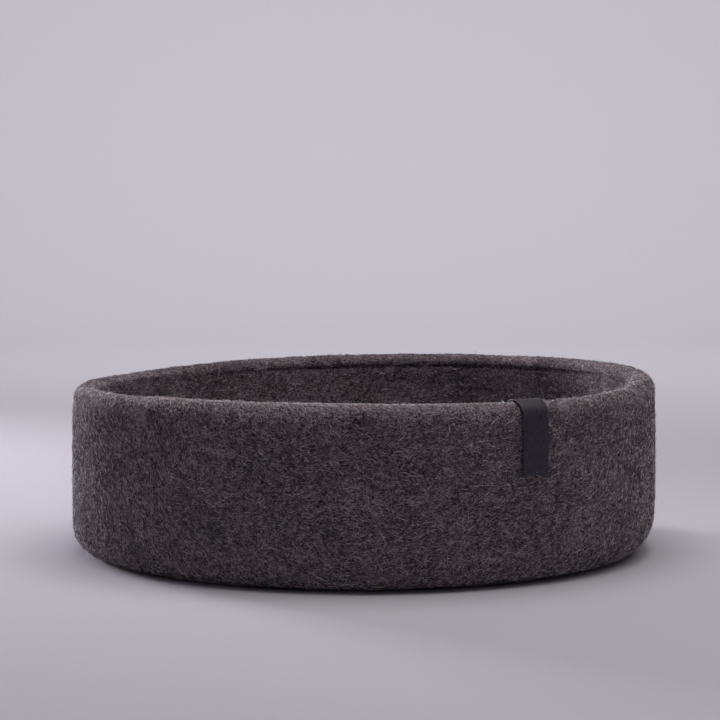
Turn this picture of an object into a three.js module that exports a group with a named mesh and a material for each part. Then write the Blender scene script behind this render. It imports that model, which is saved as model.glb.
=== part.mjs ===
// Felt pet basket: one seamless bowl of thick wool felt whose rim is turned in,
// with a plain tape label folded over the rim.
// Millimetres, +Z up. The origin is the middle of the flat underside, and the front is towards -Y.
import * as THREE from "three";

// The felt bowl
const outerRadius = 250;
const rimHeight = 145; // underside to the mean top of the rim
const rimThickness = 23; // the felt folded over on itself
const rimLean = 0.6; // how far the top of the wall leans in
const crownHigh = 13; // height of the curve from the wall to the top of the rim
const wallThickness = 22;
const floorThickness = 12;
const lowerEdgeRadius = 24; // outside, between wall and underside, at its mean
const innerEdgeRadius = 24; // inside, between wall and floor
const hemDepth = 10; // top of the rim down to the edge of the turned-in felt
const hemEdgeRadius = 2.5;
const grooveDepth = 2.5; // how far the hem's seam is drawn into the wall
const grooveHeight = 4;

// The wall stands nearly upright: how far it stands out of the outer radius at a share of its height
const wallTable = [
  { share: 0.1, standOut: 0.2 },
  { share: 0.35, standOut: 0.3 },
  { share: 0.6, standOut: 0.1 },
  { share: 0.82, standOut: -0.3 },
];

// Handmade unevenness all round. Angles are in degrees from the front, towards the right.
// rise: the rim's top above its mean height. slip: how much deeper the edge of the hem lies.
// pinch: how much deeper the hem's seam is drawn in. round: how much larger the lower edge's radius is.
const rimTable = [
  { angle: 0, rise: 0.7, slip: 0.4, pinch: 0, round: 0 },
  { angle: 30, rise: -0.3, slip: 0.8, pinch: 0.4, round: 2 },
  { angle: 60, rise: 0.4, slip: 0.6, pinch: 0, round: 7 },
  { angle: 90, rise: 5.8, slip: 1.8, pinch: -0.4, round: 9 },
  { angle: 120, rise: 6.6, slip: 1.4, pinch: 0.2, round: 6 },
  { angle: 150, rise: 5, slip: 0.8, pinch: 0.9, round: 1 },
  { angle: 180, rise: 2.8, slip: 1, pinch: 1.4, round: 0 },
  { angle: 210, rise: -1.8, slip: -0.4, pinch: 0.5, round: -1 },
  { angle: 240, rise: -5, slip: -1.6, pinch: -0.6, round: -2 },
  { angle: 270, rise: -4, slip: -2, pinch: -0.9, round: -3 },
  { angle: 300, rise: -2, slip: -1, pinch: -0.3, round: -2.5 },
  { angle: 330, rise: 1.1, slip: 0.2, pinch: 0.2, round: -1 },
];
const ovalSize = 0.6; // two soft bulges round the wall
const ovalTurn = THREE.MathUtils.degToRad(45);
const rippleSize = 0.4; // and four smaller ones
const rippleTurn = THREE.MathUtils.degToRad(10);

// Steps of the mesh
const stepsRound = 96;
const edgeSteps = 5;
const crownSteps = 5; // on each side of the rim's top
const hemSteps = 3;
const innerWallSteps = 3;

// The tape label, folded over the rim on the front right
const labelAngle = THREE.MathUtils.degToRad(31.8);
const labelWidth = 24;
const labelThickness = 1;
const labelDrop = 57; // outside, from the top of the rim to its lower end
const labelInside = 9.5; // inside, from the top of the rim to its end
const labelGap = 0.7; // clears the curve of the wall behind the flat tape
const labelCurveSteps = 8;

const rimRadius = rimThickness / 2;
const rimPoints = rimTable.map((row) => new THREE.Vector3(row.rise, row.slip, row.pinch));
const rimCurve = new THREE.CatmullRomCurve3(rimPoints, true, "catmullrom");
const edgePoints = rimTable.map((row) => new THREE.Vector3(row.round, 0, 0));
const edgeCurve = new THREE.CatmullRomCurve3(edgePoints, true, "catmullrom");

// The bowl's own sizes at an angle from the front, in radians
function sizesAt(angle) {
  const share = THREE.MathUtils.euclideanModulo(angle / (2 * Math.PI), 1);
  const { x: rise, y: slip, z: pinch } = rimCurve.getPoint(share);
  const oval = ovalSize * Math.cos(2 * (angle - ovalTurn));
  const ripple = rippleSize * Math.cos(4 * (angle - rippleTurn));
  return {
    radius: outerRadius + oval + ripple,
    edgeRadius: lowerEdgeRadius + edgeCurve.getPoint(share).x,
    crownRadius: outerRadius + oval + ripple - rimLean - rimRadius, // to the middle of the rim
    crownHeight: rimHeight + rise - crownHigh,
    top: rimHeight + rise,
    hem: hemDepth + slip,
    fold: hemDepth + slip - hemEdgeRadius, // height of the rim's inner curve
    groove: grooveDepth + pinch,
  };
}

function arc(x, y, across, high, fromDegrees, toDegrees, steps) {
  const [from, to] = [fromDegrees, toDegrees].map(THREE.MathUtils.degToRad);
  return new THREE.EllipseCurve(x, y, across, high, from, to, from > to).getPoints(steps);
}

// The cut through the felt at an angle: from the middle of the underside, up the outside,
// over the rim, past the hem and down the inside to the middle of the floor
function sectionAt(angle) {
  const { radius, edgeRadius, crownRadius, crownHeight, top, hem, fold, groove } = sizesAt(angle);
  const wallRise = crownHeight - edgeRadius;
  const hemFace = crownRadius - rimRadius;
  const innerFace = radius - wallThickness;
  const hemEdge = top - hem;
  const wallFoot = floorThickness + innerEdgeRadius;
  const wallHead = hemEdge - grooveHeight;
  const innerWall = Array.from({ length: innerWallSteps }, (_, step) => {
    const share = step / innerWallSteps;
    return new THREE.Vector2(innerFace, THREE.MathUtils.lerp(wallHead, wallFoot, share));
  });
  return [
    new THREE.Vector2(0, 0),
    ...arc(radius - edgeRadius, edgeRadius, edgeRadius, edgeRadius, -90, 0, edgeSteps),
    ...wallTable.map(
      ({ share, standOut }) => new THREE.Vector2(radius + standOut, edgeRadius + share * wallRise),
    ),
    ...arc(crownRadius, crownHeight, rimRadius, crownHigh, 0, 90, crownSteps),
    ...arc(crownRadius, top - fold, rimRadius, fold, 90, 180, crownSteps).slice(1),
    ...arc(hemFace + hemEdgeRadius, top - fold, hemEdgeRadius, hemEdgeRadius, 200, 270, hemSteps),
    new THREE.Vector2(innerFace + groove, hemEdge - grooveHeight / 4),
    ...innerWall,
    ...arc(innerFace - innerEdgeRadius, wallFoot, innerEdgeRadius, innerEdgeRadius, 0, -90, edgeSteps),
    new THREE.Vector2(0, floorThickness),
  ];
}

// One turned shell, with each of its sections worked out anew so that the felt is as uneven as by hand
function feltBowl() {
  const geometry = new THREE.LatheGeometry(sectionAt(0), stepsRound);
  const position = geometry.getAttribute("position");
  const pointsInSection = position.count / (stepsRound + 1);
  for (let turn = 0; turn <= stepsRound; turn++) {
    const angle = ((turn % stepsRound) / stepsRound) * 2 * Math.PI;
    sectionAt(angle).forEach(({ x: radius, y: height }, place) => {
      const index = turn * pointsInSection + place;
      position.setXYZ(index, radius * Math.sin(angle), -radius * Math.cos(angle), height);
    });
  }
  geometry.computeVertexNormals();
  return geometry;
}

// The label's side outline, drawn as radius and height, and given its width across the rim
function tapeLabel() {
  const { radius, crownRadius, crownHeight, top, fold } = sizesAt(labelAngle);
  const foldHeight = top - fold;
  const near = labelGap;
  const far = labelGap + labelThickness;
  const outline = new THREE.Shape();
  outline.moveTo(radius + near, top - labelDrop);
  outline.lineTo(crownRadius + rimRadius + near, crownHeight);
  outline.absellipse(crownRadius, crownHeight, rimRadius + near, crownHigh + near, 0, Math.PI / 2, false);
  outline.absellipse(crownRadius, foldHeight, rimRadius + near, fold + near, Math.PI / 2, Math.PI, false);
  outline.lineTo(crownRadius - rimRadius - near, top - labelInside);
  outline.lineTo(crownRadius - rimRadius - far, top - labelInside);
  outline.absellipse(crownRadius, foldHeight, rimRadius + far, fold + far, Math.PI, Math.PI / 2, true);
  outline.absellipse(crownRadius, crownHeight, rimRadius + far, crownHigh + far, Math.PI / 2, 0, true);
  outline.lineTo(radius + far, top - labelDrop);
  outline.closePath();
  return new THREE.ExtrudeGeometry(outline, {
    depth: labelWidth,
    bevelEnabled: false,
    curveSegments: labelCurveSteps,
  });
}

const feltMaterial = new THREE.MeshStandardMaterial({ color: 0x4a4448, roughness: 1, metalness: 0 });
const tapeMaterial = new THREE.MeshStandardMaterial({ color: 0x24222a, roughness: 0.6, metalness: 0 });

const bowl = new THREE.Mesh(feltBowl(), feltMaterial);
bowl.name = "felt_bowl";

const label = new THREE.Mesh(tapeLabel(), tapeMaterial);
label.name = "rim_label";
label.rotation.x = Math.PI / 2;
label.position.y = labelWidth / 2;

const labelPlace = new THREE.Group();
labelPlace.rotation.z = labelAngle - Math.PI / 2;
labelPlace.add(label);

const basket = new THREE.Group();
basket.name = "felt_pet_basket";
basket.add(bowl, labelPlace);

export default basket;
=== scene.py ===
import math

import bpy
import numpy as np
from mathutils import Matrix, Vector


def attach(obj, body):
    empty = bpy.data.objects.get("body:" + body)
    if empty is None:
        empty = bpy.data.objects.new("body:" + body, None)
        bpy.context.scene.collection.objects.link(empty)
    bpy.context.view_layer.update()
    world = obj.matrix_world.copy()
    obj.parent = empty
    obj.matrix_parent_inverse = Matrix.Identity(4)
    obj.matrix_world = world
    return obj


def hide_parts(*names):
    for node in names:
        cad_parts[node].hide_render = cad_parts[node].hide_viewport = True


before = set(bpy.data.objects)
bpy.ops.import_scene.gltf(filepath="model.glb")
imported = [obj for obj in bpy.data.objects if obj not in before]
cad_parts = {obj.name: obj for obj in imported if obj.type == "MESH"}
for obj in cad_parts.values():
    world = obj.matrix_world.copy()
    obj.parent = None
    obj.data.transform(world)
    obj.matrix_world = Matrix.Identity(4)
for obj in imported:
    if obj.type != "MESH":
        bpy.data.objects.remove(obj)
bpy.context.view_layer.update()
mm = 0.001
print("frame loaded:", sorted(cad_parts))


# helpers

def linear(hexColour):
    channels = [int(hexColour[i:i + 2], 16) / 255 for i in (1, 3, 5)]
    return [c / 12.92 if c <= 0.04045 else ((c + 0.055) / 1.055) ** 2.4 for c in channels] + [1.0]


def addNode(tree, kind, settings=None, links=None, stops=()):
    # stops are a ramp's places and sRGB colours
    node = tree.nodes.new(kind)
    for name, value in (settings or {}).items():
        if isinstance(name, str) and hasattr(node, name):
            setattr(node, name, value)
        else:
            node.inputs[name].default_value = value
    for name, source in (links or {}).items():
        tree.links.new(source, node.inputs[name])
    if stops:
        elements = node.color_ramp.elements
        while len(elements) < len(stops):
            elements.new(0.5)
        for element, (place, hexColour) in zip(elements, stops):
            element.position = place
            element.color = linear(hexColour)
    return node


def newMaterial(name, sockets):
    material = bpy.data.materials.new(name)
    material.use_nodes = True
    shader = material.node_tree.nodes["Principled BSDF"]
    for socket, value in sockets.items():
        shader.inputs[socket].default_value = value
    return material, material.node_tree, shader


def readPoints(piece):
    points = np.zeros(len(piece.data.vertices) * 3, np.float32)
    piece.data.vertices.foreach_get("co", points)
    return points.reshape(-1, 3).astype(float)


def writePoints(piece, points):
    piece.data.vertices.foreach_set("co", points.astype(np.float32).ravel())
    piece.data.update()


def settleOrder(piece):
    # the tools leave points and faces in an order that can differ from run to run, and the fibres follow it
    points = readPoints(piece).round(7)     # to a tenth of a micrometre
    order = np.lexsort(points.T)
    rank = np.argsort(order)
    faces = [rank[list(face.vertices)].tolist() for face in piece.data.polygons]
    faces = sorted(face[face.index(min(face)):] + face[:face.index(min(face))] for face in faces)
    piece.data.clear_geometry()
    piece.data.from_pydata(points[order].tolist(), [], faces)
    piece.data.update()


def startFromPoint(name, point):
    # a plane merged to one point, left in edit mode to be extruded
    bpy.ops.object.select_all(action="DESELECT")
    bpy.ops.mesh.primitive_plane_add(size=mm)
    piece = bpy.context.object
    piece.name = piece.data.name = name
    bpy.ops.object.mode_set(mode="EDIT")
    bpy.ops.mesh.select_all(action="SELECT")
    bpy.ops.mesh.merge(type="CENTER")
    bpy.ops.transform.translate(value=point)
    return piece


def extrudeAlong(rows):
    # what is selected is drawn out from row to row, each given as radius and height
    for (fromRadius, fromHeight), (radius, height) in zip(rows, rows[1:]):
        step = (radius - fromRadius, 0, height - fromHeight)
        bpy.ops.mesh.extrude_region_move(TRANSFORM_OT_translate={"value": step})
    bpy.ops.mesh.select_all(action="SELECT")


def spinRows(name, rows, steps, inside=False):
    # a turned shell from its section, which starts in the middle
    piece = startFromPoint(name, (rows[0][0], 0, rows[0][1]))
    extrudeAlong(rows)
    bpy.ops.mesh.spin(steps=steps, angle=2 * math.pi, center=(0, 0, 0), axis=(0, 0, 1))
    bpy.ops.mesh.select_all(action="SELECT")
    bpy.ops.mesh.remove_doubles(threshold=0.05 * mm)
    bpy.ops.mesh.normals_make_consistent(inside=inside)
    bpy.ops.object.mode_set(mode="OBJECT")
    settleOrder(piece)
    return piece


def applyModifier(piece, kind, **settings):
    bpy.context.view_layer.objects.active = piece
    modifier = piece.modifiers.new(kind.lower(), kind)
    for name, value in settings.items():
        setattr(modifier, name, value)
    bpy.ops.object.modifier_apply(modifier=modifier.name)


def softField(points, size, seed):
    # smooth hand-made unevenness, about -1 to 1, in lumps of the given size: a sum of a few sine waves
    waveCount = 14
    rng = np.random.default_rng(seed)
    waves = rng.normal(size=(waveCount, 3))
    waves *= (rng.uniform(0.6, 1.4, waveCount) / size / np.linalg.norm(waves, axis=1))[:, None]
    phases = rng.uniform(0, 2 * math.pi, waveCount)
    return np.sin(2 * math.pi * points @ waves.T + phases).sum(1) / math.sqrt(waveCount / 2) / 1.5


def arcRows(centre, across, high, fromDegrees, toDegrees, steps):
    angles = np.radians(np.linspace(fromDegrees, toDegrees, steps + 1))
    return [(centre[0] + across * math.cos(angle), centre[1] + high * math.sin(angle)) for angle in angles]


def lineRows(start, end, steps):
    # the points between two ends, without the ends
    return [tuple(row) for row in np.linspace(start, end, steps + 1)[1:-1]]


# camera: eye level just above the rim, two metres in front

view = {
    "distance": 2.0,
    "height": 0.316,
    "aside": -3.4 * mm,
    "lookDownDegrees": 4.44,
    "focalPixels": 2325,
    "framePixels": 720,
    "sensor": 36.0,
}
bpy.ops.object.camera_add(
    location=(view["aside"], -view["distance"], view["height"]),
    rotation=(math.radians(90 - view["lookDownDegrees"]), 0, 0),
)
camera = bpy.context.object
camera.data.sensor_width = view["sensor"]
camera.data.lens = view["sensor"] * view["focalPixels"] / view["framePixels"]
bpy.context.scene.camera = camera
bpy.context.scene.view_settings.view_transform = "Standard"
print("camera set")


# label: one tape over the rim, whose place the felt needs too

labelTape = {
    "angle": math.radians(31.8),    # from the front towards the right
    "width": 24 * mm,
    "thickness": 1 * mm,
    "drop": 57 * mm,            # outside, below the top of the rim
    "inside": 9.5 * mm,         # inside, below the top of the rim
    "gap": 0.7 * mm,            # to the true shape of the felt behind it
    "press": 2 * mm,            # the margin round the tape over which it presses the felt's lumps flat
    "edge": 0.3 * mm,           # bevel along its edges
    "smoothAngle": math.radians(40),
    "rowsUp": 14,
    "rowsOver": 8,              # on each side of the rim's top
    "columns": 6,
}


def tapeFrame():
    angle = labelTape["angle"]
    out = np.array([math.sin(angle), -math.cos(angle), 0])
    across = np.array([math.cos(angle), math.sin(angle), 0])
    return out, across


def underTape(points, margin):
    # 1 where the tape covers the felt, falling to 0 over the margin round its edges
    out, across = tapeFrame()
    aside = np.abs(points @ across) - labelTape["width"] / 2
    below = feltBowl["rimHeight"] - labelTape["drop"] - points[:, 2]
    behind = feltBowl["radius"] - feltBowl["rimThickness"] - points @ out
    return np.clip(-np.maximum(np.maximum(aside, below), behind) / margin + 1, 0, 1)


# felt bowl

feltBowl = {
    "radius": 250 * mm,
    "rimHeight": 145 * mm,
    "rimThickness": 23 * mm,
    "rimLean": 0.6 * mm,        # the top of the wall leans in
    "crownHigh": 13 * mm,       # from the wall to the top of the rim
    "wallThickness": 22 * mm,
    "floorThickness": 12 * mm,
    "lowerEdge": 24 * mm,       # mean radius outside, wall to underside
    "innerEdge": 24 * mm,       # radius inside, wall to floor
    "hemDepth": 10 * mm,
    "hemEdge": 2.5 * mm,
    "grooveDepth": 0.8 * mm,    # under the hem, where the seam isn't drawn in
    "grooveHeight": 3.4 * mm,
    # shares of the groove's depth, at shares of its height from the hem down
    "grooveShape": [(0.8, 0.12), (1, 0.3), (0.6, 0.55), (0.2, 0.8)],
    # how far the wall stands out of true, in mm, at shares of its height
    "wallShare": [0, 0.1, 0.35, 0.6, 0.82, 1],
    "wallOut": [0, 0.2, 0.3, 0.1, -0.3, -0.6],
    # the next columns have one value every 30 degrees, from the front towards the right
    # in mm: the rise of the rim's top, how much deeper the hem is, how much its seam is drawn in,
    # and how much larger the lower edge's radius is
    "rise": [0.7, -0.3, 0.4, 5.8, 6.6, 5, 3.3, -0.3, -4.2, -4, -2, 1.1],
    "slip": [0.4, 0.8, 0.6, 1.8, 1.4, 0.8, 1.4, 0.8, -1, -2, -1, 0.2],
    "pinch": [0, 0.4, 0, -0.4, 0.2, 0.9, 1.4, 0.5, -0.6, -0.9, -0.3, 0.2],
    "round": [0, 2, 7, 9, 6, 1, 0, -1, -2, -3, -2.5, -1],
    # as shares: how much of the hem shows, where 0 is merged with the wall,
    # painted shade on the hem's inner face, and a painted highlight on the crest
    "hemShow": [0.6, 0.5, 0.3, 0.1, 0.05, 0.2, 0.75, 0.25, 0.05, 0.05, 0.3, 0.5],
    "hemPaintedShade": [0, 0, 0.1, 0.3, 0.5, 0.55, 0.55, 0.4, 0.15, 0, 0, 0],
    "crestHighlight": [0.55, 0.4, 0.1, 0, 0, 0.1, 0.2, 0.2, 0.1, 0.05, 0.35, 0.65],
    # in degrees: how the fibres climb to the right
    "lay": [-8, 16, 42, 24, 5, -12, 8, 20, 5, -28, -48, -32],
    "oval": 0.6 * mm,
    "ovalTurn": math.radians(45),
    "ripple": 0.4 * mm,
    "rippleTurn": math.radians(10),
    "sunk": 0.8 * mm,           # the body of the felt lies this far under the tips of its fuzz
    # size and depth in mm of the waves of the wall, the lumps of the felt and the tufts of its wool
    "lumps": [("feltWaves", 80, 1.4), ("feltLumps", 16, 1.0), ("feltTufts", 7, 0.8)],
    "hemMerge": 35 * mm,        # how far down the wall the hem's thickness runs out where it doesn't show
    "seamPull": 1.8 * mm,       # how far the hem's seam draws the felt in
    "seamWidth": 2.4 * mm,
    "seamReach": 40 * mm,       # the seam lies within this depth of the rim's top
    # length and seed of the seam's slow wander, of its small waves and of its pulls
    "seamWander": (45 * mm, 4),
    "seamWaves": (14 * mm, 6),
    "seamPulls": (18 * mm, 5),
    "resting": 2.5 * mm,        # felt lower than this rests on the floor
    "settled": 0.4 * mm,        # and is pressed down by this
    # steps of the mesh round the bowl, and along each stretch of its section
    "stepsRound": 480,
    "steps": {"underside": 7, "lowerEdge": 12, "wall": 34, "crown": 9, "fold": 8, "hemEdge": 3,
              "innerWall": 30, "innerEdge": 12, "floor": 16},
}


def aroundRim(column, angle):
    # a smooth curve through the values of one column, all the way round
    values = feltBowl[column]
    place = (angle / (2 * math.pi) % 1) * len(values)
    first = place.astype(int)
    t = place - first
    a, b, c, d = (np.take(values, first + step, mode="wrap") for step in (-1, 0, 1, 2))
    return b + 0.5 * t * (c - a + t * (2 * a - 5 * b + 4 * c - d + t * (3 * (b - c) + d - a)))


def rimTop(angle):
    return feltBowl["rimHeight"] + aroundRim("rise", angle) * mm


def roundness(angle):
    oval = feltBowl["oval"] * np.cos(2 * (angle - feltBowl["ovalTurn"]))
    return oval + feltBowl["ripple"] * np.cos(4 * (angle - feltBowl["rippleTurn"]))


def angleOf(points):
    # from the front towards the right
    return np.arctan2(points[:, 0], -points[:, 1])


def feltSection():
    # from the middle of the underside, up the outside, over the rim and down the inside to the floor's middle
    bowl = feltBowl
    steps = bowl["steps"]
    half = bowl["rimThickness"] / 2
    crown = (bowl["radius"] - bowl["rimLean"] - half, bowl["rimHeight"] - bowl["crownHigh"])
    fold = bowl["hemDepth"] - bowl["hemEdge"]
    foldMiddle = (crown[0], bowl["rimHeight"] - fold)
    hemMiddle = (crown[0] - half + bowl["hemEdge"], bowl["rimHeight"] - fold)
    hemLine = bowl["rimHeight"] - bowl["hemDepth"]
    innerFace = bowl["radius"] - bowl["wallThickness"]
    head = (innerFace, hemLine - bowl["grooveHeight"])
    foot = (innerFace, bowl["floorThickness"] + bowl["innerEdge"])
    edge = (bowl["radius"] - bowl["lowerEdge"], bowl["lowerEdge"])
    innerEdge = (innerFace - bowl["innerEdge"], foot[1])
    wall = lineRows((bowl["radius"], bowl["lowerEdge"]), (bowl["radius"], crown[1]), steps["wall"])
    shares = [(height - bowl["lowerEdge"]) / (crown[1] - bowl["lowerEdge"]) for _, height in wall]
    outs = np.interp(shares, bowl["wallShare"], bowl["wallOut"]) * mm

    rows = [(0, 0)] + lineRows((0, 0), (edge[0], 0), steps["underside"])
    rows += arcRows(edge, bowl["lowerEdge"], bowl["lowerEdge"], -90, 0, steps["lowerEdge"])
    rows += [(radius + out, height) for (radius, height), out in zip(wall, outs)]
    rows += arcRows(crown, half, bowl["crownHigh"], 0, 90, steps["crown"])
    rows += arcRows(foldMiddle, half, fold, 90, 180, steps["fold"])[1:]
    rows += arcRows(hemMiddle, bowl["hemEdge"], bowl["hemEdge"], 200, 270, steps["hemEdge"])
    rows += [(innerFace + bowl["grooveDepth"] * share, hemLine - bowl["grooveHeight"] * drop)
             for share, drop in bowl["grooveShape"]]
    rows += [head] + lineRows(head, foot, steps["innerWall"])
    rows += arcRows(innerEdge, bowl["innerEdge"], bowl["innerEdge"], 0, -90, steps["innerEdge"])
    rows += lineRows((innerEdge[0], bowl["floorThickness"]), (0, bowl["floorThickness"]), steps["floor"])
    return rows + [(0, bowl["floorThickness"])]


def shapeByHand(points):
    # the rim rises and dips, and the hem slips more here than there
    bowl = feltBowl
    radius = np.hypot(points[:, 0], points[:, 1])
    height = points[:, 2]       # follows the points as they are lifted
    angle = angleOf(points)
    inside = radius < bowl["radius"] - bowl["rimLean"] - bowl["rimThickness"] / 2
    crown = bowl["rimHeight"] - bowl["crownHigh"]
    foot = bowl["floorThickness"] + bowl["innerEdge"]
    hemLine = bowl["rimHeight"] - bowl["hemDepth"]
    lifted = np.clip((height - bowl["lowerEdge"]) / (crown - bowl["lowerEdge"]), 0, 1)
    overHem = (bowl["rimHeight"] - height) / (bowl["hemDepth"] - bowl["hemEdge"])
    underHem = (height - foot) / (hemLine - bowl["grooveHeight"] - foot)
    slipped = inside * np.clip(np.minimum(overHem, underHem), 0, 1)
    points[:, 2] += (lifted * aroundRim("rise", angle) - slipped * aroundRim("slip", angle)) * mm

    # the lower edge is rounder on the right than on the left
    rounder = aroundRim("round", angle) * mm
    flat = bowl["radius"] - bowl["lowerEdge"]
    onEdge = (radius > flat) & (height <= bowl["lowerEdge"])
    underside = (radius <= flat) & (height < mm)
    above = ~inside & (height > bowl["lowerEdge"])
    inwards = np.where(onEdge, 1 - (radius - flat) / bowl["lowerEdge"], underside * radius / flat)
    points[:, 2] += rounder * np.where(onEdge, height / bowl["lowerEdge"], above * (1 - lifted))
    outwards = roundness(angle) * np.minimum(radius / flat, 1) - rounder * inwards

    # away from the back the hem is felted into the wall and its edge runs out
    hemFace = bowl["radius"] - bowl["rimLean"] - bowl["rimThickness"]
    runOut = np.clip((height - hemLine + bowl["grooveHeight"]) / bowl["hemMerge"] + 1, 0, 1) ** 2
    merged = inside & (radius > hemFace) & (height < hemLine + bowl["hemEdge"])
    outwards += merged * runOut * (1 - aroundRim("hemShow", angle)) * (hemFace - radius)
    points[:, :2] *= (1 + outwards / np.maximum(radius, mm))[:, None]


def drawSeam(points):
    # the hem's seam wanders, and is pulled in unevenly
    bowl = feltBowl
    radius = np.hypot(points[:, 0], points[:, 1])
    angle = angleOf(points)
    ring = points * (1, 1, 0)
    top = rimTop(angle)
    seam = top - bowl["hemDepth"] - aroundRim("slip", angle) * mm
    seam += (softField(ring, *bowl["seamWander"]) + 0.5 * softField(ring, *bowl["seamWaves"])) * mm
    inside = (radius < bowl["radius"] - bowl["rimThickness"] / 2) & (points[:, 2] > top - bowl["seamReach"])
    nearSeam = inside * np.exp(-((points[:, 2] - seam) / bowl["seamWidth"]) ** 2)
    # from pushed out to drawn in, and least where the hem is merged with the wall
    pulls = np.clip(softField(ring, *bowl["seamPulls"]) * 0.9 + aroundRim("pinch", angle) * 0.5, -0.8, 1.3)
    pulls *= 0.1 + 0.9 * aroundRim("hemShow", angle)
    points[:, :2] *= (1 + nearSeam * pulls * bowl["seamPull"] / np.maximum(radius, mm))[:, None]


def makeFelt():
    bowl = feltBowl
    felt = spinRows("feltBowl", feltSection(), bowl["stepsRound"])
    points = readPoints(felt)
    shapeByHand(points)
    writePoints(felt, points)

    # soft waves of hand-fulled felt, then the lumps of its wool
    applyModifier(felt, "DISPLACE", strength=-bowl["sunk"], mid_level=0)
    smooth = readPoints(felt)
    for name, size, depth in bowl["lumps"]:
        lumps = bpy.data.textures.new(name, "CLOUDS")
        lumps.noise_scale = size * mm
        lumps.noise_depth = 1
        applyModifier(felt, "DISPLACE", texture=lumps, texture_coords="LOCAL",
                      strength=depth * mm, mid_level=0.5)

    # the tape presses the felt smooth, the seam draws it in, and the underside lies flat
    points = readPoints(felt)
    points += (smooth - points) * underTape(smooth, labelTape["press"])[:, None]
    drawSeam(points)
    low = points[:, 2] < bowl["resting"]
    points[low, 2] = np.maximum(points[low, 2] - bowl["settled"], 0)
    writePoints(felt, points)
    felt.data.shade_smooth()
    return felt


felt = makeFelt()
print("felt bowl:", len(felt.data.polygons), "faces")


# fuzz: matted wool fibres lying on the felt, and loose hairs standing off it
# single fibres are 0.03 mm thick, too fine to show, and are drawn here as locks of 0.3 to 0.5 mm

fuzz = {
    "swirl": (55 * mm, 31),     # size and seed of the patches in which fibres lie one way
    "swirlTurn": 0.3,           # how far such a patch turns the lay of the felt, in radians
    "stray": 0.25,              # how far a single fibre strays from it, in radians
    "tuft": (9 * mm, 32),       # size and seed of the tufts in which fibres lie closer
    "tufted": 0.12,             # and how much closer, as a share
    # spreads about each look's own sizes
    "lengthSpread": 0.3,
    "widthSpread": (0.6, 1.3),
    "archSpread": (0.4, 1.5),
    "tipMost": 2.6,
    "leastCurl": 0.05,
    "tapeStray": 0.35,          # how far hairs stray as they reach over the tape, as a share of their length
    "offFloor": 0.1 * mm,
    "woolSpread": (0.65, 0.8),  # shades of wool, more of them dark or pale than between
    "crestAcross": 0.6,         # share of the rim's thickness that is crest, from the outside
    "crestDepth": 17 * mm,
    "crestFade": 7 * mm,        # below the rim's top the crest's fibres thin out over this
    "hemShadeBelow": 3 * mm,        # the hem's painted shade goes this far below its edge
    "tapeMargin": 4 * mm,       # hairs grow this far beside the tape to lap over it
    # how thickly loose hairs grow on each part of the felt, and matted fibres on the inside
    "looseOn": {"outside": 1.0, "rim": 0.4, "innerWall": 0.5, "floor": 0.3, "under": 0.15},
    "insideOn": {"innerWall": 1.0, "floor": 0.6},
    # sizes in mm and curl in radians; pale lifts the shade of the wool, as paler hairs in the loose look and
    # as painted light in the inner look
    "looks": {
        "matted": dict(length=4.4, width=0.48, bury=0.2, arch=0.4, tip=0.3, curl=0.9, pale=0),
        # the inside's fibres are paler as painted light, where less light reaches into the bowl
        "inner": dict(length=4.4, width=0.48, bury=0.2, arch=0.4, tip=0.3, curl=0.9, pale=0.38),
        "crest": dict(length=4.2, width=0.42, bury=0.3, arch=0.6, tip=0.45, curl=1.2, pale=0),
        "loose": dict(length=9, width=0.3, bury=0.2, arch=0.7, tip=1.0, curl=1.5, pale=0.3),
        "lapping": dict(length=3.2, width=0.3, bury=0.1, arch=1.3, tip=1.8, curl=0.8, pale=0),
    },
    # name, place, look, rings along a fibre, number of fibres, seed
    "pieces": [
        ("fuzzFrontLeft", "frontLeft", "matted", 1, 24000, 21),
        ("fuzzFrontRight", "frontRight", "matted", 1, 24000, 22),
        ("fuzzBackLeft", "backLeft", "matted", 1, 19000, 23),
        ("fuzzBackRight", "backRight", "matted", 1, 19000, 24),
        ("fuzzCrest", "crest", "crest", 1, 14000, 25),
        ("fuzzInside", "inside", "inner", 1, 20000, 26),
        ("fuzzLoose", "all", "loose", 2, 9000, 27),
        ("fuzzTape", "tapeEdge", "lapping", 2, 80, 28),
    ],
}


def readFelt():
    mesh = felt.data
    mesh.calc_loop_triangles()
    corners = np.zeros(len(mesh.loop_triangles) * 3, np.int32)
    mesh.loop_triangles.foreach_get("vertices", corners)
    corners = corners.reshape(-1, 3)
    normals = np.zeros(len(mesh.vertices) * 3, np.float32)
    mesh.vertices.foreach_get("normal", normals)
    points, normals = readPoints(felt), normals.reshape(-1, 3).astype(float)
    a, b, c = (points[corners[:, i]] for i in range(3))
    area = np.linalg.norm(np.cross(b - a, c - a), axis=1) / 2
    return {"corners": corners, "points": points, "normals": normals, "area": area, "middle": (a + b + c) / 3}


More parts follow.
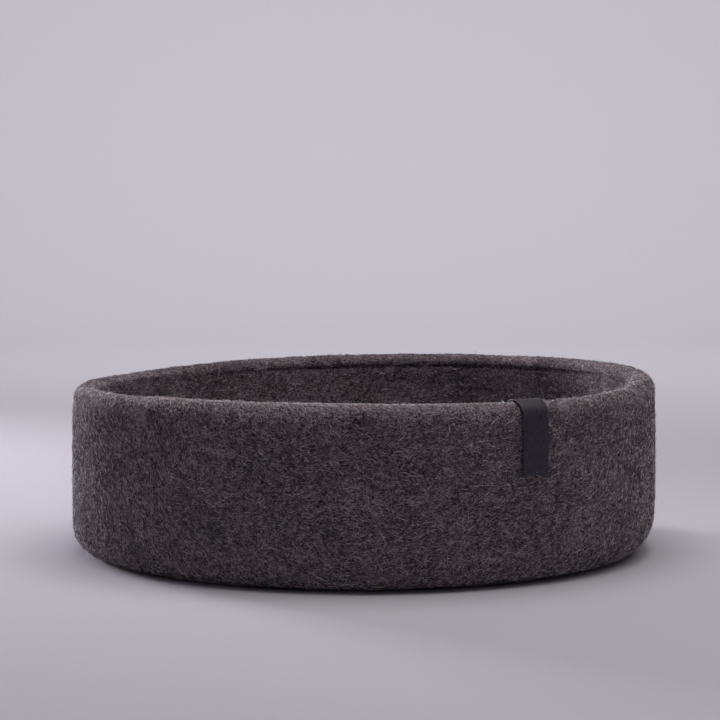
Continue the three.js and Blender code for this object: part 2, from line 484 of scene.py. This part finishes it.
def placeShare(surface, place):
    # how thick the fibres of one place grow on each triangle of the felt
    bowl = feltBowl
    middle = surface["middle"]
    radius = np.hypot(middle[:, 0], middle[:, 1])
    top = rimTop(angleOf(middle))
    faceOut = surface["normals"][surface["corners"][:, 0]]
    outward = (faceOut[:, :2] * middle[:, :2]).sum(1) / np.maximum(radius, mm)
    onRim = radius > bowl["radius"] - bowl["rimThickness"] * fuzz["crestAcross"]
    facesUp, facesDown = faceOut[:, 2] > 0.9, faceOut[:, 2] < -0.8
    parts = {}
    parts["rim"] = (middle[:, 2] > top - fuzz["crestDepth"]) & onRim
    parts["under"] = facesDown & (middle[:, 2] < 4 * mm)
    wall = ~parts["rim"] & ~parts["under"]
    outside = wall & (outward > 0) & (radius > bowl["radius"] - bowl["lowerEdge"])
    parts["outside"] = outside
    parts["innerWall"] = wall & ~outside & ~facesUp
    parts["floor"] = wall & ~outside & facesUp
    left, front = middle[:, 0] < 0, middle[:, 1] < 0
    nearTape = underTape(middle, fuzz["tapeMargin"])
    rightOfTape = middle @ tapeFrame()[1] > 0
    belowTape = middle[:, 2] < bowl["rimHeight"] - labelTape["drop"]
    return {
        # most hairs lap over the tape from its right and from below
        "tapeEdge": outside * (nearTape > 0) * (nearTape < 1) * (0.3 + rightOfTape + belowTape),
        "frontLeft": outside & front & left,
        "frontRight": outside & front & ~left,
        "backLeft": outside & ~front & left,
        "backRight": outside & ~front & ~left,
        "crest": parts["rim"] * np.exp(-((top - middle[:, 2]) / fuzz["crestFade"]) ** 2),
        "inside": sum(parts[part] * share for part, share in fuzz["insideOn"].items()),
        "all": sum(parts[part] * share for part, share in fuzz["looseOn"].items()),
    }[place]


def scatterRoots(rng, surface, place, count):
    bare = underTape(surface["middle"], mm)
    tufted = 1 + fuzz["tufted"] * softField(surface["middle"], *fuzz["tuft"])
    chance = np.cumsum(surface["area"] * placeShare(surface, place) * np.maximum(tufted, 0.1) * (1 - bare))
    picked = surface["corners"][np.searchsorted(chance, rng.uniform(0, chance[-1], count))]
    u, v = rng.random(count), rng.random(count)
    u, v = np.where(u + v > 1, 1 - u, u), np.where(u + v > 1, 1 - v, v)
    shares = np.stack([1 - u - v, u, v], 1)[:, :, None]
    root = (surface["points"][picked] * shares).sum(1)
    up = (surface["normals"][picked] * shares).sum(1)
    return root, up / np.linalg.norm(up, axis=1)[:, None]


def layFibres(rng, root, up, place):
    # each fibre runs along the felt, roughly with its neighbours
    count = len(root)
    level = np.stack([-root[:, 1], root[:, 0], np.zeros(count)], 1)
    level /= np.maximum(np.linalg.norm(level, axis=1), 1e-6)[:, None]
    climb = np.cross(up, level)
    lay = np.radians(aroundRim("lay", angleOf(root)))
    swirl = fuzz["swirlTurn"] * softField(root, *fuzz["swirl"])
    heading = lay + swirl + rng.normal(0, fuzz["stray"], count)
    heading += math.pi * rng.integers(0, 2, count)
    along = np.cos(heading)[:, None] * level + np.sin(heading)[:, None] * climb
    if place == "tapeEdge":
        # these hairs reach in over the edge of the tape
        across = tapeFrame()[1]
        aside = root @ across
        beside = (np.abs(aside) > labelTape["width"] / 2)[:, None]
        inwards = -np.sign(aside)[:, None] * across * beside
        upwards = np.array([0, 0, 1]) * (root[:, 2:] < feltBowl["rimHeight"] - labelTape["drop"])
        along = inwards + upwards + rng.normal(0, fuzz["tapeStray"], (count, 3))
        along -= (along * up).sum(1)[:, None] * up
        along /= np.linalg.norm(along, axis=1)[:, None]
    return along, np.cross(up, along)


def bendFibres(rng, root, up, along, aside, look, rings):
    # a curled, arched spindle: a point at each end and rings of three corners between them
    count = len(root)
    length = look["length"] * mm * rng.lognormal(0, fuzz["lengthSpread"], count)
    width = look["width"] * mm * rng.uniform(*fuzz["widthSpread"], count)
    curl = rng.normal(0, look["curl"], count)
    curl = np.where(np.abs(curl) < fuzz["leastCurl"], fuzz["leastCurl"], curl)
    arch = look["arch"] * mm * rng.uniform(*fuzz["archSpread"], count)
    tip = look["tip"] * mm * rng.exponential(1, count).clip(0, fuzz["tipMost"])
    fibre = []
    for step in range(rings + 2):
        share = step / (rings + 1)
        turn = curl * share
        run = length * np.sin(turn) / curl
        drift = length * (1 - np.cos(turn)) / curl
        lift = -look["bury"] * mm + arch * 4 * share * (1 - share) + tip * share ** 2
        centre = root + run[:, None] * along + drift[:, None] * aside + lift[:, None] * up
        if step in (0, rings + 1):
            fibre.append((centre, share, 0))
            continue
        across = np.cos(turn)[:, None] * aside - np.sin(turn)[:, None] * along
        for corner in range(3):
            spread = 2 * math.pi * corner / 3
            offset = math.cos(spread) * up + math.sin(spread) * across
            fibre.append((centre + (width / 2)[:, None] * offset, share, corner - 1))
    return fibre


def spindleFaces(rings):
    last = 3 * rings + 1
    faces = [(0, 1 + j, 1 + (j + 1) % 3) for j in range(3)]
    for ring in range(rings - 1):
        a, b = 1 + 3 * ring, 4 + 3 * ring
        for j in range(3):
            k = (j + 1) % 3
            faces += [(a + j, b + j, b + k), (a + j, b + k, a + k)]
    a = 1 + 3 * (rings - 1)
    faces += [(a + j, last, a + (j + 1) % 3) for j in range(3)]
    return np.array(faces)


def shadeFibres(rng, root, look, place):
    angle = angleOf(root)
    wool = look["pale"] + rng.beta(*fuzz["woolSpread"], len(root))
    if place == "crest":
        # painted highlight: the crest's fibres are made paler, most at the front
        wool += aroundRim("crestHighlight", angle)
    if place == "inside":
        # painted shade: the inside's fibres on the hem's inner face are made darker, most at the back
        hemFoot = rimTop(angle) - feltBowl["hemDepth"] - fuzz["hemShadeBelow"]
        wool -= aroundRim("hemPaintedShade", angle) * (root[:, 2] > hemFoot)
    return wool.clip(0, 1)


def growFibres(name, place, look, rings, count, seed, surface):
    rng = np.random.default_rng(seed)
    root, up = scatterRoots(rng, surface, place, count)
    along, aside = layFibres(rng, root, up, place)
    fibre = bendFibres(rng, root, up, along, aside, look, rings)
    points = np.stack([point for point, _, _ in fibre], 1)
    points[:, :, 2] = np.maximum(points[:, :, 2], fuzz["offFloor"])
    loops = (np.arange(count)[:, None, None] * len(fibre) + spindleFaces(rings)).ravel()

    mesh = bpy.data.meshes.new(name)
    mesh.vertices.add(count * len(fibre))
    mesh.vertices.foreach_set("co", points.astype(np.float32).ravel())
    mesh.loops.add(len(loops))
    mesh.loops.foreach_set("vertex_index", loops.astype(np.int32))
    mesh.polygons.add(len(loops) // 3)
    mesh.polygons.foreach_set("loop_start", np.arange(0, len(loops), 3, dtype=np.int32))
    mesh.update(calc_edges=True)
    mesh.shade_smooth()

    # one map for every fibre, kept off its borders: the shade of wool across, root to tip along,
    # with a ring's three corners a little apart so that no face is flat on the map
    wool = shadeFibres(rng, root, look, place)
    shade = (0.03 + 0.94 * wool)[:, None] + 0.012 * np.array([corner for _, _, corner in fibre])
    rootToTip = np.broadcast_to([0.02 + 0.96 * share for _, share, _ in fibre], shade.shape)
    uv = np.stack([shade, rootToTip], 2).reshape(-1, 2)[loops]
    layer = mesh.uv_layers.new(name="OFBake")
    layer.uv.foreach_set("vector", uv.astype(np.float32).ravel())
    piece = bpy.data.objects.new(name, mesh)
    bpy.context.scene.collection.objects.link(piece)
    return piece


surface = readFelt()
fuzzPieces = [
    growFibres(name, place, fuzz["looks"][look], rings, count, seed, surface)
    for name, place, look, rings, count, seed in fuzz["pieces"]
]
for piece in fuzzPieces:
    print("fuzz:", piece.name, len(piece.data.polygons), "triangles")


# label

def tapePath():
    # up the outside, over the rim and down the inside, along the middle of the tape's thickness
    tape, bowl = labelTape, feltBowl
    angle = np.array([tape["angle"]])
    half = bowl["rimThickness"] / 2
    top = rimTop(angle)[0]
    radius = bowl["radius"] + roundness(tape["angle"])
    crown = radius - bowl["rimLean"] - half, top - bowl["crownHigh"]
    fold = bowl["hemDepth"] + aroundRim("slip", angle)[0] * mm - bowl["hemEdge"]
    clear = tape["gap"] + tape["thickness"] / 2
    foot = (radius + clear, top - tape["drop"])
    path = [foot] + lineRows(foot, (crown[0] + half + clear, crown[1]), tape["rowsUp"])
    path += arcRows(crown, half + clear, bowl["crownHigh"] + clear, 0, 90, tape["rowsOver"])
    path += arcRows((crown[0], top - fold), half + clear, fold + clear, 90, 180, tape["rowsOver"])[1:]
    return path + [(crown[0] - half - clear, top - tape["inside"])]


def makeLabel():
    tape = labelTape
    path = tapePath()
    label = startFromPoint("rimLabel", (path[0][0], -tape["width"] / 2, path[0][1]))
    for _ in range(tape["columns"]):
        step = (0, tape["width"] / tape["columns"], 0)
        bpy.ops.mesh.extrude_region_move(TRANSFORM_OT_translate={"value": step})
    bpy.ops.mesh.select_all(action="SELECT")
    extrudeAlong(path)
    bpy.ops.mesh.normals_make_consistent(inside=False)
    bpy.ops.object.mode_set(mode="OBJECT")
    settleOrder(label)

    # the tape's own map: across it, and along it from the foot
    points = readPoints(label)
    rows = np.array(path)
    lengths = np.concatenate([[0], np.cumsum(np.hypot(*np.diff(rows, axis=0).T))])
    nearest = np.hypot(points[:, None, 0] - rows[:, 0], points[:, None, 2] - rows[:, 1]).argmin(1)
    tapeMap = np.stack([points[:, 1] / tape["width"] + 0.5, lengths[nearest] / lengths[-1]], 1)
    corners = np.zeros(len(label.data.loops), np.int32)
    label.data.loops.foreach_get("vertex_index", corners)
    layer = label.data.uv_layers.new(name="tape")
    layer.uv.foreach_set("vector", tapeMap[corners].astype(np.float32).ravel())

    applyModifier(label, "SOLIDIFY", thickness=tape["thickness"], offset=0)
    applyModifier(label, "BEVEL", width=tape["edge"], segments=2, limit_method="ANGLE")
    label.rotation_euler = (0, 0, tape["angle"] - math.pi / 2)
    bpy.ops.object.select_all(action="DESELECT")
    label.select_set(True)
    bpy.context.view_layer.objects.active = label
    bpy.ops.object.transform_apply(location=True, rotation=True, scale=True)
    bpy.ops.object.shade_smooth_by_angle(angle=tape["smoothAngle"])
    return label, lengths[-1]


label, labelLength = makeLabel()
print("label:", len(label.data.polygons), "faces,", round(labelLength / mm, 1), "mm long")


# materials

# sizes of the patterns
woolPattern = {
    # real fibres are 0.03 mm thick, and the hollows between them, dark with painted shade, are drawn about 2
    # mm apart to show
    "strand": 2.1 * mm,
    "tuft": 9 * mm,
    "patch": 40 * mm,
    "flatten": 1.5,             # the fibres lie level more than upright
    "relief": 1.8 * mm,
}
tapePattern = {
    "rib": 0.6 * mm,            # real ribs are 0.15 mm apart, and are drawn wider to show
    "thread": 0.5 * mm,         # threads run along the tape, and are drawn wider too
    "threadLength": 6 * mm,
    "relief": 0.2 * mm,
}


def woolFelt():
    # fulled wool felt: no gloss, fibres matted every way, with painted shade in the hollows between them
    material, tree, shader = newMaterial("wool felt", {
        "Roughness": 0.95,
        "Specular IOR Level": 0.15,
        "Sheen Weight": 0.4,
        "Sheen Roughness": 0.6,
        "Sheen Tint": linear("#8d8289"),
    })
    pattern = woolPattern
    place = addNode(tree, "ShaderNodeTexCoord").outputs["Object"]
    flattened = {"Scale": (1, 1, pattern["flatten"])}
    level = addNode(tree, "ShaderNodeMapping", flattened, {"Vector": place}).outputs[0]
    strandLook = {"Scale": 1 / pattern["strand"], "Detail": 2.0, "Roughness": 0.6, "Distortion": 2.5}
    strands = addNode(tree, "ShaderNodeTexNoise", strandLook, {"Vector": level}).outputs[0]
    tuftLook = {"Scale": 1 / pattern["tuft"], "Detail": 2.0}
    tufts = addNode(tree, "ShaderNodeTexNoise", tuftLook, {"Vector": level}).outputs[0]
    patchLook = {"Scale": 1 / pattern["patch"], "Detail": 2.0}
    patches = addNode(tree, "ShaderNodeTexNoise", patchLook, {"Vector": place}).outputs[0]
    tuftShare = {"operation": "MULTIPLY_ADD", 1: 0.14}
    mixed = addNode(tree, "ShaderNodeMath", tuftShare, {0: tufts, 2: strands}).outputs[0]
    # the ramp's near-black end is painted shade in the hollows, which the bump below makes lowest
    ramp = addNode(tree, "ShaderNodeValToRGB", None, {"Fac": mixed},
                   [(0.49, "#040303"), (0.565, "#483d43"), (0.65, "#b8abb1")])
    patchShades = {"From Min": 0.35, "From Max": 0.65, "To Min": 0.75, "To Max": 1.25}
    spread = addNode(tree, "ShaderNodeMapRange", patchShades, {"Value": patches})
    toned = addNode(tree, "ShaderNodeHueSaturation", None,
                    {"Color": ramp.outputs["Color"], "Value": spread.outputs["Result"]})
    tree.links.new(toned.outputs["Color"], shader.inputs["Base Color"])
    relief = {"Strength": 1.0, "Distance": pattern["relief"]}
    bump = addNode(tree, "ShaderNodeBump", relief, {"Height": mixed})
    tree.links.new(bump.outputs["Normal"], shader.inputs["Normal"])
    return material


def woolFibre():
    # single locks of the same wool: matt, from near black to pale, with painted shade where they leave the
    # felt
    material, tree, shader = newMaterial("wool fibre", {
        "Roughness": 0.8,
        "Specular IOR Level": 0.2,
        "Sheen Weight": 0.4,
        "Sheen Roughness": 0.5,
        "Sheen Tint": linear("#a89da3"),
    })
    place = addNode(tree, "ShaderNodeUVMap", {"uv_map": "OFBake"})
    parts = addNode(tree, "ShaderNodeSeparateXYZ", None, {0: place.outputs["UV"]})
    ramp = addNode(tree, "ShaderNodeValToRGB", None, {"Fac": parts.outputs["X"]},
                   [(0.0, "#131012"), (0.5, "#7e7377"), (1.0, "#f4eaec")])
    # painted shade: each fibre's colour darkens towards its root
    paintedRootShade = {"From Max": 0.35, "To Min": 0.6, "To Max": 1.0}
    fade = addNode(tree, "ShaderNodeMapRange", paintedRootShade, {"Value": parts.outputs["Y"]})
    toned = addNode(tree, "ShaderNodeHueSaturation", None,
                    {"Color": ramp.outputs["Color"], "Value": fade.outputs["Result"]})
    tree.links.new(toned.outputs["Color"], shader.inputs["Base Color"])
    return material


def satinTape():
    # satin-woven polyester tape: smooth, dense and dark, with a faint gloss and fine ribs across
    material, tree, shader = newMaterial("satin-woven tape", {
        "Roughness": 0.5,
        "Specular IOR Level": 0.3,
        "Anisotropic": 0.3,
    })
    pattern = tapePattern
    place = addNode(tree, "ShaderNodeUVMap", {"uv_map": "tape"})
    parts = addNode(tree, "ShaderNodeSeparateXYZ", None, {0: place.outputs["UV"]})
    ribTurns = {"operation": "MULTIPLY", 1: 2 * math.pi * labelLength / pattern["rib"]}
    ribs = addNode(tree, "ShaderNodeMath", ribTurns, {0: parts.outputs["Y"]})
    wave = addNode(tree, "ShaderNodeMath", {"operation": "SINE"}, {0: ribs.outputs[0]})
    threadScale = (labelTape["width"] / pattern["thread"], labelLength / pattern["threadLength"], 1)
    threads = addNode(tree, "ShaderNodeMapping", {"Scale": threadScale}, {"Vector": place.outputs["UV"]})
    threadLook = {"Scale": 1.0, "Detail": 2.0}
    uneven = addNode(tree, "ShaderNodeTexNoise", threadLook, {"Vector": threads.outputs[0]})
    ribShare = {"operation": "MULTIPLY_ADD", 1: 0.08}
    weave = addNode(tree, "ShaderNodeMath", ribShare, {0: wave.outputs[0], 2: uneven.outputs[0]}).outputs[0]
    ramp = addNode(tree, "ShaderNodeValToRGB", None, {"Fac": weave},
                   [(0.3, "#27242b"), (0.5, "#37323c"), (0.7, "#47424d")])
    tree.links.new(ramp.outputs["Color"], shader.inputs["Base Color"])
    relief = {"Strength": 0.35, "Distance": pattern["relief"]}
    bump = addNode(tree, "ShaderNodeBump", relief, {"Height": weave})
    tree.links.new(bump.outputs["Normal"], shader.inputs["Normal"])
    return material


feltMaterial, fibreMaterial, tapeMaterial = woolFelt(), woolFibre(), satinTape()
felt.data.materials.append(feltMaterial)
for piece in fuzzPieces:
    piece.data.materials.append(fibreMaterial)
label.data.materials.append(tapeMaterial)
print("materials set")


# stage: a round of pale paper that sweeps up to a wall, and soft studio light

studio = {
    "floorRadius": 2.6,
    "sweepRadius": 1.4,
    "sweepTop": 4.0,
    "sweepSteps": 24,
    "stepsRound": 96,
    "paper": "#cac7cf",
    "worldColour": "#f1eff6",
    "worldStrength": 0.18,
    # name, place, aim, size across and along, spread in degrees, watts, colour
    "lights": [
        ("overhead", (0.1, 0.0, 1.9), (0, 0, 0), 1.5, 1.2, 180, 17, "#fffcfa"),
        ("topRight", (0.9, -0.3, 1.5), (0, -0.1, 0.1), 0.9, 0.8, 180, 4.2, "#fffcfa"),
        ("leftKicker", (-1.4, 1.4, 0.4), (0, 0, 0.1), 0.6, 0.5, 50, 3.9, "#f5f2fc"),
        ("backdropWash", (0.0, 0.9, 2.7), (0, 3.2, 0.8), 3.0, 0.8, 120, 42, "#ffffff"),
    ],
}


def makeStage():
    bend = studio["sweepRadius"]
    corner = (studio["floorRadius"], bend)
    rows = [(0, 0)] + arcRows(corner, bend, bend, -90, 0, studio["sweepSteps"])
    rows += [(studio["floorRadius"] + bend, studio["sweepTop"])]
    paper = spinRows("paperSweep", rows, studio["stepsRound"], inside=True)
    paper.data.shade_smooth()
    # matt uncoated paper: even and without gloss
    look = {"Base Color": linear(studio["paper"]), "Roughness": 0.9}
    paper.data.materials.append(newMaterial("matt paper", look)[0])


def makeLights():
    for name, place, aim, across, along, spread, watts, colour in studio["lights"]:
        bpy.ops.object.light_add(type="AREA", location=place)
        light = bpy.context.object
        light.name = name
        light.visible_camera = False
        light.data.shape = "RECTANGLE"
        light.data.size, light.data.size_y = across, along
        light.data.spread = math.radians(spread)
        light.data.energy = watts
        light.data.color = linear(colour)[:3]
        light.rotation_euler = (Vector(aim) - Vector(place)).to_track_quat("-Z", "Y").to_euler()
    world = bpy.data.worlds.new("studio")
    world.use_nodes = True
    background = world.node_tree.nodes["Background"]
    background.inputs["Color"].default_value = linear(studio["worldColour"])
    background.inputs["Strength"].default_value = studio["worldStrength"]
    bpy.context.scene.world = world


makeStage()
makeLights()
print("stage set")


# what moves with what, and what each piece stands for

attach(felt, "root")
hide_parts("felt_bowl")
for piece in fuzzPieces:
    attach(piece, "root")
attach(label, "root")
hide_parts("rim_label")
